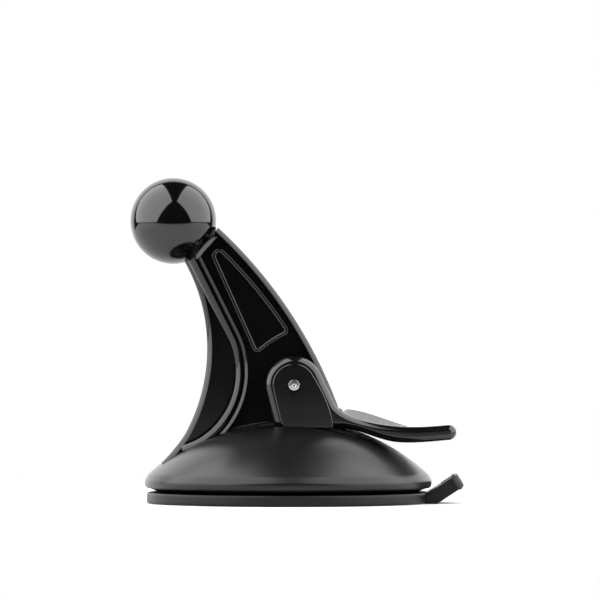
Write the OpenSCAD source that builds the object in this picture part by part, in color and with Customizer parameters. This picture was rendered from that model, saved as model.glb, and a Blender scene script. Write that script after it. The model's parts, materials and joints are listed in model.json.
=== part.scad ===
// Suction-cup base with a cam lever and a ball arm, for a car phone holder.
// Origin: centre of the suction face. +Z is up, +X points to the lever and the pull tab.
// Shown locked, with the lever down and the cup drawn up into the dome.

/* [Ball and arm] */
// Diameter of the ball
ball_d = 17; // [15:0.1:19]
// Height of the ball's centre above the suction face
ball_z = 55; // [52:0.5:60]
// Distance of the ball's centre from the cup's axis, away from the lever
ball_reach = 22.4; // [19:0.2:25]
// Angle at which the neck leaves the ball, below the horizontal
neck_angle = 41; // [36:1:46]
// Width of the neck where it meets the ball
neck_w = 9.6; // [8:0.1:10.4]
// Extra width of the arm in front of the neck
neck_front = 0.35; // [0:0.05:0.5]
// Length of the round collar between the ball and the arm
collar_l = 1.4; // [1:0.1:2.5]
// Diameter of the stud that joins the ball to the arm
stud_d = 4.8; // [3:0.1:5.5]
// Depth of the stud in the arm
stud_l = 8; // [5:0.5:10]
// Width of the arm at its foot
foot_w = 13.4; // [12:0.1:13.4]
// Radius on the dome at which the arm's front edge lands
foot_front = 22.6; // [21:0.2:24]
// Bow of the arm's front edge
front_bow = 5.1; // [4.5:0.1:5.8]
// Distance of the arm's back foot from the pivot pin
back_foot_x = 8.15; // [7.8:0.05:8.4]
// Drop of the arm's back foot below the pivot pin
back_foot_drop = 3.05; // [2.6:0.05:3.4]
// Bow of the arm's back edge
back_bow = 2.25; // [1.8:0.05:2.6]
// Width of the flanges along the arm's edges
flange_w = 1; // [0.7:0.05:1.3]
// How far the front flange is set in from the arm's sides
front_inset = 1.6; // [1:0.1:2.4]
// Depth of the side panels below the flanges
panel_depth = 1; // [0.6:0.1:1.4]
// Thickness of the web in the crescent behind the front flange
web_t = 3.4; // [2.4:0.2:5]
// Outer radius of the curved rib
rib_r = 17.65; // [16.5:0.05:18.5]
// Width of the curved rib
rib_w = 2.65; // [2.2:0.05:3]
// Distance of the rib from the pivot pin
rib_gap = 9; // [8.6:0.1:9.4]
// Height of the rib's centre above the pivot pin
rib_rise = 2.45; // [1.5:0.05:3.5]
// Offset of the rib's upper end from the neck's axis
rib_offset = 1.6; // [1.2:0.1:2]
// Width of the rib's strip behind its groove
rib_strip_w = 0.75; // [0.5:0.05:1]
// Width of the groove along the rib
groove_w = 0.35; // [0.2:0.05:0.5]
// Depth of the groove along the rib
groove_depth = 0.7; // [0.3:0.1:0.9]
// Distance of the window's upper corner from the collar
window_top = 2.7; // [2:0.1:4]
// Distance of the window's front corner in front of the pivot pin
window_front = 7.1; // [6.5:0.1:7.4]
// Height of the window's front corner above the pivot pin
window_low = 7; // [6.5:0.1:8]
// Distance of the window's back corner in front of the pivot pin
window_back = 2.4; // [2.2:0.1:3.4]
// Height of the window's back corner above the pivot pin
window_high = 10.5; // [9.5:0.1:11]
// Radius of the window's corners
window_r = 1.2; // [1.1:0.05:1.4]
// Bow of the window's back side
window_bow = 0.6; // [0.3:0.1:0.8]
// Width of the bead round the window
bead_w = 0.8; // [0.6:0.05:1]
// Height of the bead above the side panel
bead_h = 0.4; // [0.2:0.05:0.6]
// Depth of the window below the side panel
window_depth = 0.3; // [0.2:0.05:0.8]

/* [Dome] */
// Diameter of the dome's rim
rim_d = 56; // [54:0.5:60]
// Height of the dome's crown above the suction face
crown_z = 16.36; // [16:0.05:17]
// Height of the crease between the dome and its rim band
crease_z = 5.6; // [5.2:0.1:5.8]
// Height of the rim's lower edge
rim_z = 3; // [2.7:0.1:3.4]
// Wall of the dome
dome_wall = 2.2; // [1.6:0.1:2.6]
// Height of the crown's flat underside, where the spring seats
spring_seat_z = 11.4; // [11:0.1:11.8]
// Radius of the thick part of the crown
crown_r = 13.6; // [13:0.1:14.5]

/* [Lever] */
// Pivot pin's distance from the cup's axis
pivot_x = 1.15; // [0.8:0.05:1.5]
// Pivot pin's height when the lever is locked
pivot_z = 23.15; // [22.8:0.05:23.6]
// Diameter of the pivot pin
pin_d = 2.2; // [1.8:0.1:2.6]
// Radius of the ear round the pin
ear_r = 5.6; // [5.2:0.05:5.8]
// Height of the locked cam face below the pin
cam_h = 8.4; // [8:0.05:8.8]
// Rise of the dome for each radian of lever travel
cam_rate = 2.3; // [2:0.05:2.4]
// Travel of the lever in degrees
lever_travel = 80; // [70:1:84]
// Width over the lever's ears
lever_w = 18.8; // [18.4:0.1:20]
// Height of the raised boss on each ear
boss_h = 0.4; // [0.2:0.05:0.6]
// Thickness of the hidden cam lobe on each ear
lobe_t = 1.1; // [0.8:0.05:1.3]
// Distance of the ear's heel behind the pin, where the handle starts
heel_x = 7.75; // [7.5:0.05:8]
// Distance of the cam's toe in front of the pin
toe_x = 2.15; // [1.9:0.05:2.4]
// Distance of the handle's lowest part from the pin
handle_mid = 20; // [18:0.5:21]
// Drop of the handle's upper face below the pin, at its lowest part
handle_drop = 7.95; // [7.8:0.05:8.1]
// Thickness of the handle at its lowest part
handle_t = 3.15; // [2.9:0.05:3.3]
// Drop of the handle's tip below the pin
tip_drop = 9.2; // [9:0.1:9.5]
// Radius of the handle's tip
tip_r = 1.5; // [1.2:0.1:1.6]
// Distance of the thumb ramp's upper end from the pin
ramp_x = 10.6; // [10.2:0.1:11.5]
// Drop of the thumb ramp's upper end below the pin
ramp_drop = 4.7; // [4.5:0.1:5.2]
// Reach of the thumb ramp from the pin
ramp_reach = 22; // [19:0.5:23]
// Reach of the handle's tip from the cup's axis
handle_x = 32.7; // [30:0.1:35]
// Height of the thumb ramp's upper end above the handle's edges
ramp_h = 1.1; // [0.8:0.1:1.4]
// Slope of the thumb ramp's sides in degrees
ramp_slope = 18; // [14:1:30]

/* [Suction cup] */
// Diameter of the suction disc
disc_d = 55.2; // [54:0.2:56]
// Thickness of the suction disc at its edge
disc_t = 2.2; // [1.8:0.1:2.4]
// Depth of the dish under the disc
dish_depth = 0.9; // [0.4:0.1:1.2]
// Width of the flat ring that bears on the glass
sealing_w = 6; // [4:0.5:8]
// Diameter of the core plate
core_d = 24.8; // [22:0.2:26]
// Thickness of the core plate
core_t = 1.8; // [1.4:0.1:2]
// Thickness of the stem's tongue
tongue_t = 5; // [4:0.1:5.4]
// Width of the stem's tongue
tongue_w = 6.4; // [5.4:0.1:6.6]
// Width of the pull tab
tab_w = 13.5; // [10:0.5:18]
// Length of the pull tab past the bend
tab_l = 6.4; // [5.8:0.1:8]
// Thickness of the pull tab
tab_t = 2.8; // [2.2:0.1:2.9]
// Angle of the pull tab above the suction face
tab_angle = 33; // [28:1:36]
// Corner radius of the pull tab
tab_r = 2; // [0.5:0.1:3]
// Length of the slot in the pull tab
tab_slot_l = 2.4; // [1.6:0.1:3]
// Width of the slot in the pull tab
tab_slot_w = 5.7; // [4:0.1:7]

/* [Spring and screws] */
// Diameter of the spring wire
wire_d = 0.9; // [0.7:0.05:1]
// Free turns of the spring
spring_turns = 4; // [3:0.5:4.5]
// Mean diameter of the spring
spring_d = 11.7; // [11.6:0.1:12]
// Diameter of the arm screws
screw_d = 3; // [2.4:0.1:3.2]
// Length of the arm screws under the head
screw_l = 6; // [5:0.5:6.5]
// Distance of the front screws from the cup's axis
screw_front = 10.4; // [10.3:0.1:10.6]
// Distance of the back screws from the cup's axis
screw_back = 8; // [7.9:0.1:8.2]
// Spacing of the two front screws
screw_front_gap = 7.2; // [6.8:0.1:7.6]
// Spacing of the two back screws
screw_back_gap = 9; // [8.8:0.1:9.2]
// Diameter of the screws' heads
screw_head_d = 4.8; // [4.4:0.1:5]
// Height of the screws' heads
screw_head_h = 1.6; // [1.2:0.1:1.9]

/* [Fits] */
// Running clearance of the pin in the ears
pin_fit = 0.05; // [0.02:0.01:0.1]
// Clearance of parts that are pressed or screwed together
seat_fit = 0.03; // [0.02:0.01:0.06]
// Clearance between sliding flat faces
slide_gap = 0.4; // [0.3:0.05:0.5]
// Gap between the cam and its seat on the dome
cam_gap = 0.12; // [0.08:0.01:0.2]
// Gap between the lever and the arm or the dome
lever_gap = 0.5; // [0.3:0.05:0.6]
// Gap between the dome's pressure ring and the disc
ring_gap = 0.15; // [0.1:0.05:0.3]

/* [Hidden] */
$fn = 96;

// Points and arcs in the side plane, written as [x, z]
function along(p, angle, d) = p + d * [cos(angle), sin(angle)];
function middle(p, q) = (p + q) / 2;
function bow_radius(p, q, bow) = (norm(q - p) ^ 2 / 4 + bow ^ 2) / (2 * bow);
// Centre of the arc from p to q that bows to the left of that direction
function bow_centre(p, q, bow) =
    let (dir = (q - p) / norm(q - p), left = [-dir[1], dir[0]])
    middle(p, q) + left * (bow - bow_radius(p, q, bow));
function bezier(a, b, c, d, steps = 8) = [
    for (i = [0 : steps])
        let (t = i / steps, u = 1 - t)
        u ^ 3 * a + 3 * u ^ 2 * t * b + 3 * u * t ^ 2 * c + t ^ 3 * d
];

// Ball and neck
ball_r = ball_d / 2;
ball_c = [-ball_reach, ball_z];
neck_start = sqrt(ball_r ^ 2 - (neck_w / 2) ^ 2);
neck_end = neck_start + collar_l;
function neck_point(distance, across) =
    along(along(ball_c, -neck_angle, distance), 90 - neck_angle, across);

// Dome: a spherical cap through the crown and the crease
rim_r = rim_d / 2;
crease_step = 0.7;
rim_edge = 0.5;
crease_r = rim_r - crease_step;
cap_h = crown_z - crease_z;
dome_r = (cap_h ^ 2 + crease_r ^ 2) / (2 * cap_h);
dome_c = crown_z - dome_r;
function dome_height(r) = dome_c + sqrt(dome_r ^ 2 - r ^ 2);

// Arm: front and back edges are arcs between the neck and the foot
pivot = [pivot_x, pivot_z];
front_top = neck_point(neck_end, -neck_w / 2 - neck_front);
overlap = 0.5;
front_lift = 0.3;
front_foot = [-foot_front, dome_height(foot_front) + front_lift];
back_top = neck_point(neck_end, neck_w / 2);
back_foot = pivot + [back_foot_x, -back_foot_drop];
front_r = bow_radius(front_foot, front_top, front_bow);
front_c = bow_centre(front_top, front_foot, front_bow);
back_r = bow_radius(back_top, back_foot, back_bow);
back_c = bow_centre(back_top, back_foot, back_bow);
arm_w = foot_w + 4 * overlap;

// Curved rib: an arc beside the pivot and its tangent up to the neck
rib_c = pivot + [-rib_gap - rib_r, rib_rise];
rib_top = neck_point(neck_end, -rib_offset);
rib_lean = atan2(rib_top[1] - rib_c[1], rib_top[0] - rib_c[0]) - acos(rib_r / norm(rib_top - rib_c));
rib_straight = sqrt(norm(rib_top - rib_c) ^ 2 - rib_r ^ 2) + neck_w / 2;
groove_r = rib_r - rib_strip_w - groove_w;

// Window: three rounded corners and one point that bows its back side
window_apex = neck_point(neck_end + window_top, window_r * 0.75);
window_heel = pivot + [-window_back, window_high];
window_corners = [
    window_apex,
    pivot + [-window_front, window_low],
    window_heel,
    along(middle(window_apex, window_heel), 90 - neck_angle, window_bow)
];

// Lever
travel_rad = lever_travel * PI / 180;
lift = cam_rate * travel_rad;
cam_z = pivot_z - cam_h;
seat_z = cam_z - cam_gap;
relief_depth = 1.6;
relief_z = cam_z - relief_depth;
ear_side_gap = 0.2;
ear_in = foot_w / 2 + ear_side_gap;
ear_out = lever_w / 2 - boss_h;
lobe_out = ear_in + lobe_t;
cam_steps = 16;
// Cam lobe seen from the pin: an involute, so that the dome rises evenly with the lever's angle
cam_points = [
    for (i = [0 : cam_steps])
        let (a = lever_travel * i / cam_steps, h = cam_h - cam_rate * a * PI / 180)
        [cam_rate * cos(a) - h * sin(a), -cam_rate * sin(a) - h * cos(a)]
];
// Straight sides of the ear and of its boss, which start just inside their round tops
ear_front_angle = 172;
ear_back_angle = 27;
ear_back_l = 6.8;
toe_round = 1.8;
boss_inset = 1.4;
boss_r = ear_r - boss_inset;
blend = 0.1;
toe = pivot + [-toe_x, -cam_h];
heel = pivot + [heel_x, -cam_h];
ear_back = along(pivot, ear_back_angle, ear_r - blend);
ear_outline = [
    along(pivot, ear_front_angle, ear_r - blend),
    toe + toe_round * [-1, 0.53],
    toe,
    heel,
    along(ear_back, ear_back_angle - 90, ear_back_l),
    ear_back
];
boss_back = along(pivot, ear_back_angle, boss_r - blend);
boss_outline = [
    along(pivot, ear_front_angle, boss_r - blend),
    toe + toe_round * [-0.2, 0.67],
    toe,
    heel - [2 * blend, 0],
    heel + boss_inset * [-0.45, 2.1],
    along(boss_back, ear_back_angle - 90, ear_back_l * 0.75),
    boss_back
];
// Handle: curves from the ear's heel through its lowest part to the tip and back
handle_root = pivot + [heel_x, -heel_x * 0.44];
handle_slope = -5.2;
handle_pull = 3.4;
tip_slope = 5;
tip_c = [handle_x - tip_r, pivot_z - tip_drop];
tip_top = tip_c + [0, tip_r];
tip_low = tip_c - [0, tip_r];
mid_top = pivot + [handle_mid, -handle_drop];
mid_low = mid_top - [0, handle_t];
heel_low = heel + [boss_inset * 1.3, 0];
handle_outline = concat(
    bezier(handle_root, along(handle_root, ear_back_angle - 90, handle_pull * 0.9),
           along(mid_top, 180 + handle_slope, handle_pull * 1.7), mid_top),
    bezier(mid_top, along(mid_top, handle_slope, handle_pull),
           along(tip_top, 180 + tip_slope, handle_pull), tip_top),
    [for (a = [67.5 : -22.5 : -67.5]) along(tip_c, a, tip_r)],
    bezier(tip_low, along(tip_low, 180 + tip_slope, handle_pull),
           along(mid_low, handle_slope, handle_pull), mid_low),
    bezier(mid_low, along(mid_low, 180 + handle_slope, handle_pull),
           along(heel_low, handle_slope, handle_pull), heel_low),
    [heel - [boss_inset, 0]]
);
// Thumb ramp: rises from the handle to a step behind the arm
ramp_top = pivot + [ramp_x, -ramp_drop];
ramp_end = pivot + [ramp_reach, -handle_drop];
ramp_fall = atan2(handle_drop - ramp_drop - ramp_h, handle_mid - ramp_x);
ramp_outline = concat(
    [ramp_top - [tip_r / 2, 2 * tip_r]],
    bezier(ramp_top, along(ramp_top, handle_slope, handle_pull),
           along(ramp_end, 165, handle_pull * 1.2), ramp_end),
    [mid_top - [0, tip_r / 2]]
);
dimple_d = 1.2;
dimple_depth = 0.35;
pin_chamfer = 0.2;
pin_recess_d = pin_d + 0.7;
pin_recess_depth = 0.5;
pin_l = lever_w - pin_chamfer;

// Suction cup
disc_r = disc_d / 2;
core_z = disc_t;
core_top = core_z + core_t;
lip_w = 2;
disc_edge = 0.4;
lip_top = core_z + core_t * 0.6;
dish_edge = disc_r - sealing_w;
dish_r = (dish_edge ^ 2 + dish_depth ^ 2) / (2 * dish_depth);
slot_w = tongue_w + 2 * slide_gap;
slot_t = tongue_t + 2 * slide_gap;
hub_r = norm([tongue_w / 2 + pivot_x, tongue_t / 2]) - blend;
ring_inset = 3.2;
ring_r = rim_r - ring_inset;
ring_w = 2;
tab_bend = 1.4;
tab_bend_x = disc_r + tab_bend;

// Spring between the core plate and the crown
spring_l = spring_seat_z - core_top;
wire_r = wire_d / 2;
wire_sides = 6;
curl_rings = 8;
spring_slack = 0.05;
spring_pitch = (spring_l - wire_d - 2 * spring_slack) / spring_turns;

// Screws stand in the crown beside the spring
screw_places = [
    for (side = [-0.5, 0.5])
        each [[-screw_front, side * screw_front_gap], [screw_back, side * screw_back_gap]]
];
head_top = spring_seat_z + screw_head_h + blend;

// A slab of the side plane, w wide across the object
module slab(w) rotate([90, 0, 0]) linear_extrude(w, center = true) children();

// The same slab on both sides, from one distance from the middle plane to another
module both_sides(from, to)
    for (side = [-1, 1])
        translate([0, side * (from + to) / 2, 0]) slab(to - from) children();

module dome_ball(grow) translate([0, 0, dome_c]) sphere(dome_r + grow, $fn = 192);

module neck_frame() translate([ball_c[0], 0, ball_c[1]]) rotate([0, 90 + neck_angle, 0]) children();

// Space between the arm's two tapering sides, set in from them
module arm_taper(inset) {
    low = dome_height(foot_front) - 6;
    high = back_top[1] + 2;
    slope = (foot_w - neck_w) / 2 / (front_top[1] - crown_z);
    function half(z) = foot_w / 2 - inset - slope * max(0, z - crown_z);
    rotate([90, 0, 90])
        linear_extrude(4 * rim_r, center = true)
            polygon([
                [-half(low), low], [half(low), low], [half(crown_z), crown_z], [half(high), high],
                [-half(high), high], [-half(crown_z), crown_z]
            ]);
}

module arm_side() {
    difference() {
        intersection() {
            translate(back_c) circle(back_r, $fn = 360);
            polygon([
                neck_point(neck_end - overlap, neck_w), neck_point(neck_end - overlap, -neck_w),
                [-rim_r, front_foot[1] - 4], [rim_r, front_foot[1] - 4], [rim_r, back_top[1]]
            ]);
        }
        translate(front_c) circle(front_r, $fn = 240);
    }
}

module back_flange() difference() {
    arm_side();
    translate(back_c) circle(back_r - flange_w, $fn = 360);
}

module front_flange() intersection() {
    arm_side();
    translate(front_c) circle(front_r + flange_w, $fn = 240);
}

// Band between two radii of the rib's arc, carried up its tangent to the neck
module rib_band(r_in, r_out) intersection() {
    arm_side();
    translate(rib_c) rotate(rib_lean) {
        intersection() {
            difference() {
                circle(r_out, $fn = 180);
                circle(r_in, $fn = 180);
            }
            translate([0, -2 * rib_r]) square([2 * rib_r, 2 * rib_r]);
        }
        translate([r_in, 0]) square([r_out - r_in, rib_straight]);
    }
}

module crescent() difference() {
    intersection() {
        arm_side();
        translate(rib_c) rotate(rib_lean) {
            circle(rib_r - rib_w, $fn = 180);
            translate([-rib_r, 0]) square([2 * rib_r - rib_w, rib_straight]);
        }
    }
    translate(front_c) circle(front_r + flange_w, $fn = 240);
}

// The window's outline, drawn in by a margin
module window(margin) hull()
    for (corner = window_corners)
        translate(corner) circle(window_r - margin, $fn = 32);

// Room for the stem's tongue, from below the crown to above the eye
module tongue_slot() translate([pivot_x - slot_w / 2, -slot_t / 2, 0])
    cube([slot_w, slot_t, pivot_z + tongue_w / 2 + slide_gap]);

module pin_slot() {
    slot_r = pin_d / 2 + slide_gap;
    slab(2 * rim_r) {
        for (drop = [0, lift])
            translate(pivot - [0, drop]) circle(slot_r);
        translate(pivot - [slot_r, lift]) square([2 * slot_r, lift]);
    }
}

module screw_at_places() for (p = screw_places) translate([p[0], p[1], 0]) children();

module ball() color("#1c1c1e") {
    translate([ball_c[0], 0, ball_c[1]]) sphere(ball_r);
    neck_frame() cylinder(h = neck_start + stud_l, d = stud_d);
}

module arm() color("#161617") difference() {
    union() {
        intersection() {
            arm_taper(panel_depth);
            slab(arm_w) arm_side();
        }
        intersection() {
            arm_taper(0);
            slab(arm_w) {
                back_flange();
                rib_band(rib_r - rib_w, groove_r);
                rib_band(groove_r + groove_w, rib_r);
            }
        }
        intersection() {
            arm_taper(groove_depth);
            slab(arm_w) rib_band(groove_r, groove_r + groove_w);
        }
        intersection() {
            arm_taper(front_inset);
            slab(arm_w) front_flange();
        }
        intersection() {
            arm_taper(panel_depth - bead_h);
            slab(arm_w) window(0);
        }
        neck_frame() cylinder(h = neck_end + 2 * overlap, d = neck_w);
    }
    both_sides(web_t / 2, arm_w) crescent();
    intersection() {
        slab(arm_w) window(bead_w);
        difference() {
            arm_taper(-overlap);
            arm_taper(panel_depth + window_depth);
        }
    }
    translate([ball_c[0], 0, ball_c[1]]) sphere(ball_r + seat_fit);
    neck_frame() cylinder(h = neck_start + stud_l + overlap, d = stud_d + 2 * seat_fit);
    tongue_slot();
    pin_slot();
    screw_at_places() cylinder(h = head_top + screw_l + overlap, d = screw_d + 2 * seat_fit);
    dome_ball(seat_fit);
}

// Spherical cap, with a thick crown that seats the spring and takes the screws
module dome_cap() difference() {
    intersection() {
        translate([0, dome_c]) circle(dome_r, $fn = 360);
        translate([0, crease_z]) square([crease_r, crown_z]);
    }
    difference() {
        translate([0, dome_c]) circle(dome_r - dome_wall, $fn = 360);
        translate([-rim_r, spring_seat_z]) square([rim_r + crown_r, crown_z]);
    }
}

// Band round the rim, with an inner ring that presses on the disc
module dome_rim() polygon([
    [crease_r - dome_wall, crease_z + rim_edge], [crease_r, crease_z], [rim_r - rim_edge, crease_z - rim_edge],
    [rim_r, crease_z - 2 * rim_edge], [rim_r, rim_z + rim_edge], [rim_r - rim_edge, rim_z], [ring_r, rim_z],
    [ring_r, disc_t + ring_gap], [ring_r - ring_w, disc_t + ring_gap],
    [ring_r - ring_w, crease_z + 2 * rim_edge]
]);

// Pocket in the dome for the lever's ears, open behind them
module ear_pocket(inner, floor_z) both_sides(inner, ear_out + boss_h + lever_gap)
    translate([pivot_x - ear_r - 3 * lever_gap, floor_z]) square([heel_x + 2.5 * ear_r, crown_z]);

module dome() color("#2a2a2c") difference() {
    union() {
        rotate_extrude($fn = 192) dome_cap();
        rotate_extrude($fn = 192) dome_rim();
    }
    tongue_slot();
    screw_at_places() {
        cylinder(h = head_top, d = screw_head_d + 2 * slide_gap);
        cylinder(h = crown_z, d = screw_d + 2 * seat_fit);
    }
    ear_pocket(ear_in - lever_gap / 2, seat_z);
    ear_pocket(lobe_out, relief_z);
}

module arm_screws() color("silver") screw_at_places() {
    translate([0, 0, head_top - screw_head_h]) cylinder(h = screw_head_h, d = screw_head_d);
    translate([0, 0, head_top - blend]) cylinder(h = screw_l, d = screw_d);
}

module ear() {
    translate(pivot) circle(ear_r);
    polygon(ear_outline);
}

module handle() polygon(handle_outline);

// Part of the side plane that the cam lobe keeps above its seat
module above_cam() translate(pivot)
    polygon(concat([[3 * ear_r, -cam_h]], cam_points,
                   [along(cam_points[cam_steps], 180 - lever_travel, 2 * ear_r), [3 * ear_r, 2 * ear_r]]));

// Gable over the handle, which gives the thumb ramp its sloping sides
module ramp_roof() {
    half = ear_out - overlap;
    translate([mid_top[0], 0, mid_top[1]]) rotate([0, ramp_fall, 0]) rotate([90, 0, 90])
        linear_extrude(4 * handle_mid, center = true)
            polygon([[-half, -ear_r], [half, -ear_r], [half, 0], [0, half * tan(ramp_slope)], [-half, 0]]);
}

module lever() color("#232325") difference() {
    union() {
        both_sides(ear_in, lobe_out) {
            intersection() {
                ear();
                above_cam();
            }
            handle();
        }
        both_sides(lobe_out, ear_out) {
            ear();
            handle();
        }
        both_sides(ear_out, ear_out + boss_h) {
            translate(pivot) circle(boss_r);
            polygon(boss_outline);
        }
        slab(2 * ear_out) difference() {
            handle();
            translate(back_c) circle(back_r + lever_gap, $fn = 360);
        }
        intersection() {
            ramp_roof();
            slab(2 * ear_out) difference() {
                polygon(ramp_outline);
                translate(back_c) circle(back_r + lever_gap, $fn = 360);
            }
        }
    }
    slab(2 * lever_w) translate(pivot) circle(pin_d / 2 + pin_fit);
    both_sides(ear_out + boss_h - pin_recess_depth, lever_w) translate(pivot) circle(d = pin_recess_d);
    intersection() {
        dome_ball(lever_gap);
        translate([pivot_x + heel_x, -lever_w, 0]) cube([rim_r, 2 * lever_w, crown_z]);
    }
}

module pivot_pin() color("gainsboro") translate([pivot_x, 0, pivot_z]) rotate([90, 0, 0])
    rotate_extrude()
        polygon([
            [0, dimple_depth - pin_l / 2], [dimple_d / 2, -pin_l / 2], [pin_d / 2 - pin_chamfer, -pin_l / 2],
            [pin_d / 2, pin_chamfer - pin_l / 2], [pin_d / 2, pin_l / 2 - pin_chamfer],
            [pin_d / 2 - pin_chamfer, pin_l / 2], [dimple_d / 2, pin_l / 2], [0, pin_l / 2 - dimple_depth]
        ]);

module stem() color("#e4e2dc") {
    translate([0, 0, core_z]) cylinder(h = core_t, d = core_d);
    translate([0, 0, core_z]) cylinder(h = core_t + 2 * overlap, r = hub_r);
    slab(tongue_t) difference() {
        union() {
            translate([pivot_x - tongue_w / 2, core_z]) square([tongue_w, pivot_z - core_z]);
            translate(pivot) circle(d = tongue_w);
        }
        translate(pivot) circle(pin_d / 2 + seat_fit);
    }
}

// One tube wound round the stem, with its end turns lying flat
function coil_height(turn) =
    core_top + wire_r + spring_slack + spring_pitch * min(max(turn - 0.75, 0), spring_turns);
coil_rings = [
    for (i = [0 : curl_rings * (spring_turns + 1.5)])
        let (turn = i / curl_rings, a = 360 * turn)
        [for (s = [0 : wire_sides - 1])
            let (b = 360 * s / wire_sides, r = spring_d / 2 + wire_r * cos(b))
            [r * cos(a), r * sin(a), coil_height(turn) + wire_r * sin(b)]]
];

module return_spring() color("silver") {
    last = len(coil_rings) - 1;
    polyhedron(
        points = [for (ring = coil_rings) each ring],
        faces = concat(
            [[for (s = [0 : wire_sides - 1]) s]],
            [for (i = [0 : last - 1], s = [0 : wire_sides - 1])
                let (a = i * wire_sides, b = a + wire_sides, n = (s + 1) % wire_sides)
                each [[a + s, b + s, b + n], [a + s, b + n, a + n]]],
            [[for (s = [wire_sides - 1 : -1 : 0]) last * wire_sides + s]]
        )
    );
}

// The tab's own frame: its bend at the origin, its length along +X
module tab_frame() translate([tab_bend_x, 0, 0]) rotate([0, -tab_angle, 0]) children();

module pull_tab() {
    translate([disc_r - 2 * tab_t, -tab_w / 2, 0]) cube([2 * tab_t + tab_bend, tab_w, disc_t - disc_edge]);
    tab_frame() difference() {
        linear_extrude(tab_t) difference() {
            translate([-tab_r - overlap, -tab_w / 2]) {
                square([tab_l + overlap, tab_w]);
                translate([0, tab_r]) square([tab_l + tab_r + overlap, tab_w - 2 * tab_r]);
            }
            translate([tab_l * 0.42, -tab_slot_w / 2]) square([tab_slot_l, tab_slot_w]);
        }
    }
    tab_frame() for (side = [-1, 1])
        translate([tab_l - tab_r, side * (tab_w / 2 - tab_r), 0]) cylinder(h = tab_t, r = tab_r);
}

module suction_disc() color("#333336") difference() {
    union() {
        rotate_extrude($fn = 192) difference() {
            polygon([
                [0, 0], [disc_r - disc_edge, 0], [disc_r, disc_edge], [disc_r, disc_t - disc_edge],
                [disc_r - disc_edge, disc_t], [core_d / 2 + lip_w, disc_t],
                [core_d / 2 + lip_w - disc_edge, lip_top], [0, lip_top]
            ]);
            translate([-1, core_z]) square([core_d / 2 + seat_fit + 1, core_t]);
        }
        difference() {
            pull_tab();
            translate([0, 0, -disc_t]) cylinder(h = disc_t, r = 2 * rim_r);
        }
    }
    translate([0, 0, dish_depth - dish_r]) sphere(dish_r, $fn = 360);
}

ball();
arm();
dome();
arm_screws();
lever();
pivot_pin();
stem();
return_spring();
suction_disc();
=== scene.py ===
"""Looks of a suction-cup ball mount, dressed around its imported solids.

Lengths are written in millimetres and turned to metres where a mesh is made. Outlines lie in the
side plane and are written as (x, z), so the y of such a point is a height: +X points to the lever,
+Z away from the suction face. Angles are in degrees.
"""
import json
import math

import bmesh
import bpy
from mathutils import Matrix, Vector


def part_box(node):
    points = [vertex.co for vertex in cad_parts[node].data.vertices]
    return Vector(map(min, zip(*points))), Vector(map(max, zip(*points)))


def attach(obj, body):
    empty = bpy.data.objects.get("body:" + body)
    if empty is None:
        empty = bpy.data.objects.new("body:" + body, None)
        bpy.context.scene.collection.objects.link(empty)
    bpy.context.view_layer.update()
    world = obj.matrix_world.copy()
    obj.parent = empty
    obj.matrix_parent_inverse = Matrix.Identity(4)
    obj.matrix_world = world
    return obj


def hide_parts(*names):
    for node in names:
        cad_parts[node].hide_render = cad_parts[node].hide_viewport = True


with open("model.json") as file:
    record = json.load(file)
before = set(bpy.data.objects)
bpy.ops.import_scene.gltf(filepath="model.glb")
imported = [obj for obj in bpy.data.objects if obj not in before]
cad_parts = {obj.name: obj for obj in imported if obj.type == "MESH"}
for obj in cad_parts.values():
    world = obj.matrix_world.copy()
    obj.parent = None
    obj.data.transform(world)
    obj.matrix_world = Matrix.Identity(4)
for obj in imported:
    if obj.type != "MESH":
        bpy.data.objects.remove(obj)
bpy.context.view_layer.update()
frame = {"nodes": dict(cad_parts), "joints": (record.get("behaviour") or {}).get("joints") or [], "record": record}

MM = 0.001
JOINTS = {joint["name"]: joint for joint in frame["joints"]}
MOUNTS = {mount["name"]: mount for mount in frame["record"]["mounts"]}


def side_point(place_m):
    """A place in metres as a point of the side plane in millimetres."""
    return Vector((place_m[0], place_m[2])) / MM


# Ball and neck
BALL = side_point(MOUNTS["ball_joint"]["pos_m"])
BALL_R = 8.5
NECK_DIR = -Vector((MOUNTS["ball_joint"]["axis"][0], MOUNTS["ball_joint"]["axis"][2])).normalized()
NECK_ACROSS = Vector((-NECK_DIR.y, NECK_DIR.x))
NECK_W = 9.6
COLLAR_L = 1.4
NECK_START = math.sqrt(BALL_R ** 2 - (NECK_W / 2) ** 2)
NECK_END = NECK_START + COLLAR_L
STUD_R = 2.4
STUD_END = NECK_START + 8
STUD_CHAMFER = 0.4
STUD_FIT = 0.03
STUD_ROOM = 0.5

# Dome and rim
RIM_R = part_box("dome")[1][0] / MM
CROWN_Z = 16.36
CREASE_Z = 5.6
CREASE_IN = 0.7
CREASE_R = RIM_R - CREASE_IN
RIM_Z = 3.0
# The rim band's rounded edges: (inset, drop) from the crease, (inset, rise) from the lowest ring
RIM_SHOULDER = ((0.45, 0.45), (0.25, 0.8), (0.06, 1.1), (0, 1.4))
RIM_FOOT = ((0.03, 0.6), (0.15, 0.25), (0.45, 0), (0.8, 0))
UNDERCUT_IN = 2.4
LEDGE_IN = 5.2
LEDGE_GAP = 0.15
LEDGE_TOP = CREASE_Z + 0.8
INSIDE_IN = 5
DOME_WALL = 2.2
CROWN_SEAT_Z = 11.4
CROWN_R = 13.6
CAP_H = CROWN_Z - CREASE_Z
DOME_R = (CAP_H ** 2 + CREASE_R ** 2) / (2 * CAP_H)
DOME_C = CROWN_Z - DOME_R
TONGUE_ROOM_X = 3.6
TONGUE_ROOM_Y = 2.9

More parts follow.
